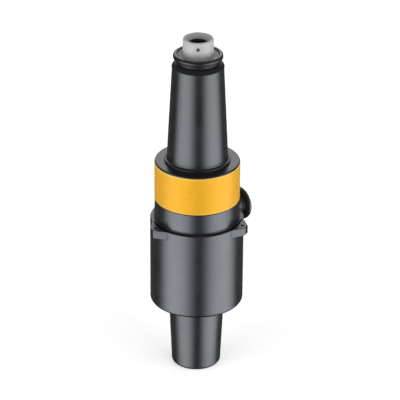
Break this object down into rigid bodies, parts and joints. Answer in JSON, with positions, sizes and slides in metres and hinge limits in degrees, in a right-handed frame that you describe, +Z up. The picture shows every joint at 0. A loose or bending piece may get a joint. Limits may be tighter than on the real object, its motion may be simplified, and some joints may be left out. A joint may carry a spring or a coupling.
{
  "type": "loadbreak bushing",
  "caption": "Upright black rubber loadbreak bushing: tapered cone with grey nose, yellow collar ring, wide shielded body with eyed lugs, side test point and tapered well plug.",
  "frame": {"origin": "centre of the well plug's tip face, at the mouth of the stud socket", "axes": "+Z up along the bushing's axis from the well plug to the nose; -Y towards the viewer of the picture; the test point stands out 41 degrees from +X towards +Y"},
  "size_m": [0.089, 0.0885, 0.312],
  "materials": {
    "insulating_body": "satin moulded EPDM rubber",
    "conductive_jacket": "satin moulded conductive EPDM rubber",
    "latch_indicator_ring": "smooth yellow moulded plastic",
    "nosepiece": "light grey glass-filled nylon",
    "nosepiece_seal_ring": "nitrile seal",
    "gas_trap_ring": "fluorocarbon seal",
    "contact_tube": "drawn tube",
    "tube_seal_ring": "nitrile seal",
    "conductor_rod": "machined copper",
    "inner_screen": "conductive EPDM",
    "piston": "turned copper alloy",
    "louvre_band": "silver-plated copper alloy strip",
    "piston_seal_ring": "PTFE ring",
    "female_contact": "silver-plated copper alloy",
    "finger_spring_rings": "spring steel",
    "snuffer_tube": "glass fibre epoxy",
    "snuffer_liner": "acetal",
    "snuffer_pins": "hardened steel",
    "test_point_electrode": "turned brass",
    "test_point_sleeve": "insulating EPDM",
    "test_point_cap": "moulded conductive EPDM"
  },
  "bodies": {
    "housing": {"insulating_body": "insulating_body", "conductive_jacket": "conductive_jacket", "latch_indicator_ring": "latch_indicator_ring", "nosepiece": "nosepiece", "nosepiece_seal_ring": "nosepiece_seal_ring", "gas_trap_ring": "gas_trap_ring", "contact_tube": "contact_tube", "tube_seal_ring": "tube_seal_ring", "conductor_rod": "conductor_rod", "inner_screen": "inner_screen", "test_point_electrode": "test_point_electrode", "test_point_sleeve": "test_point_sleeve", "test_point_cap": "test_point_cap"},
    "contact_carriage": {"piston": "piston", "louvre_band": "louvre_band", "piston_seal_ring": "piston_seal_ring", "female_contact": "female_contact", "finger_spring_rings": "finger_spring_rings", "snuffer_tube": "snuffer_tube", "snuffer_liner": "snuffer_liner", "snuffer_pins": "snuffer_pins"}
  },
  "joints": [
    {"name": "contact_stroke", "type": "slide", "parent": "housing", "child": "contact_carriage", "axis": [0, 0, 1], "range_m": [0, 0.022]}
  ]
}
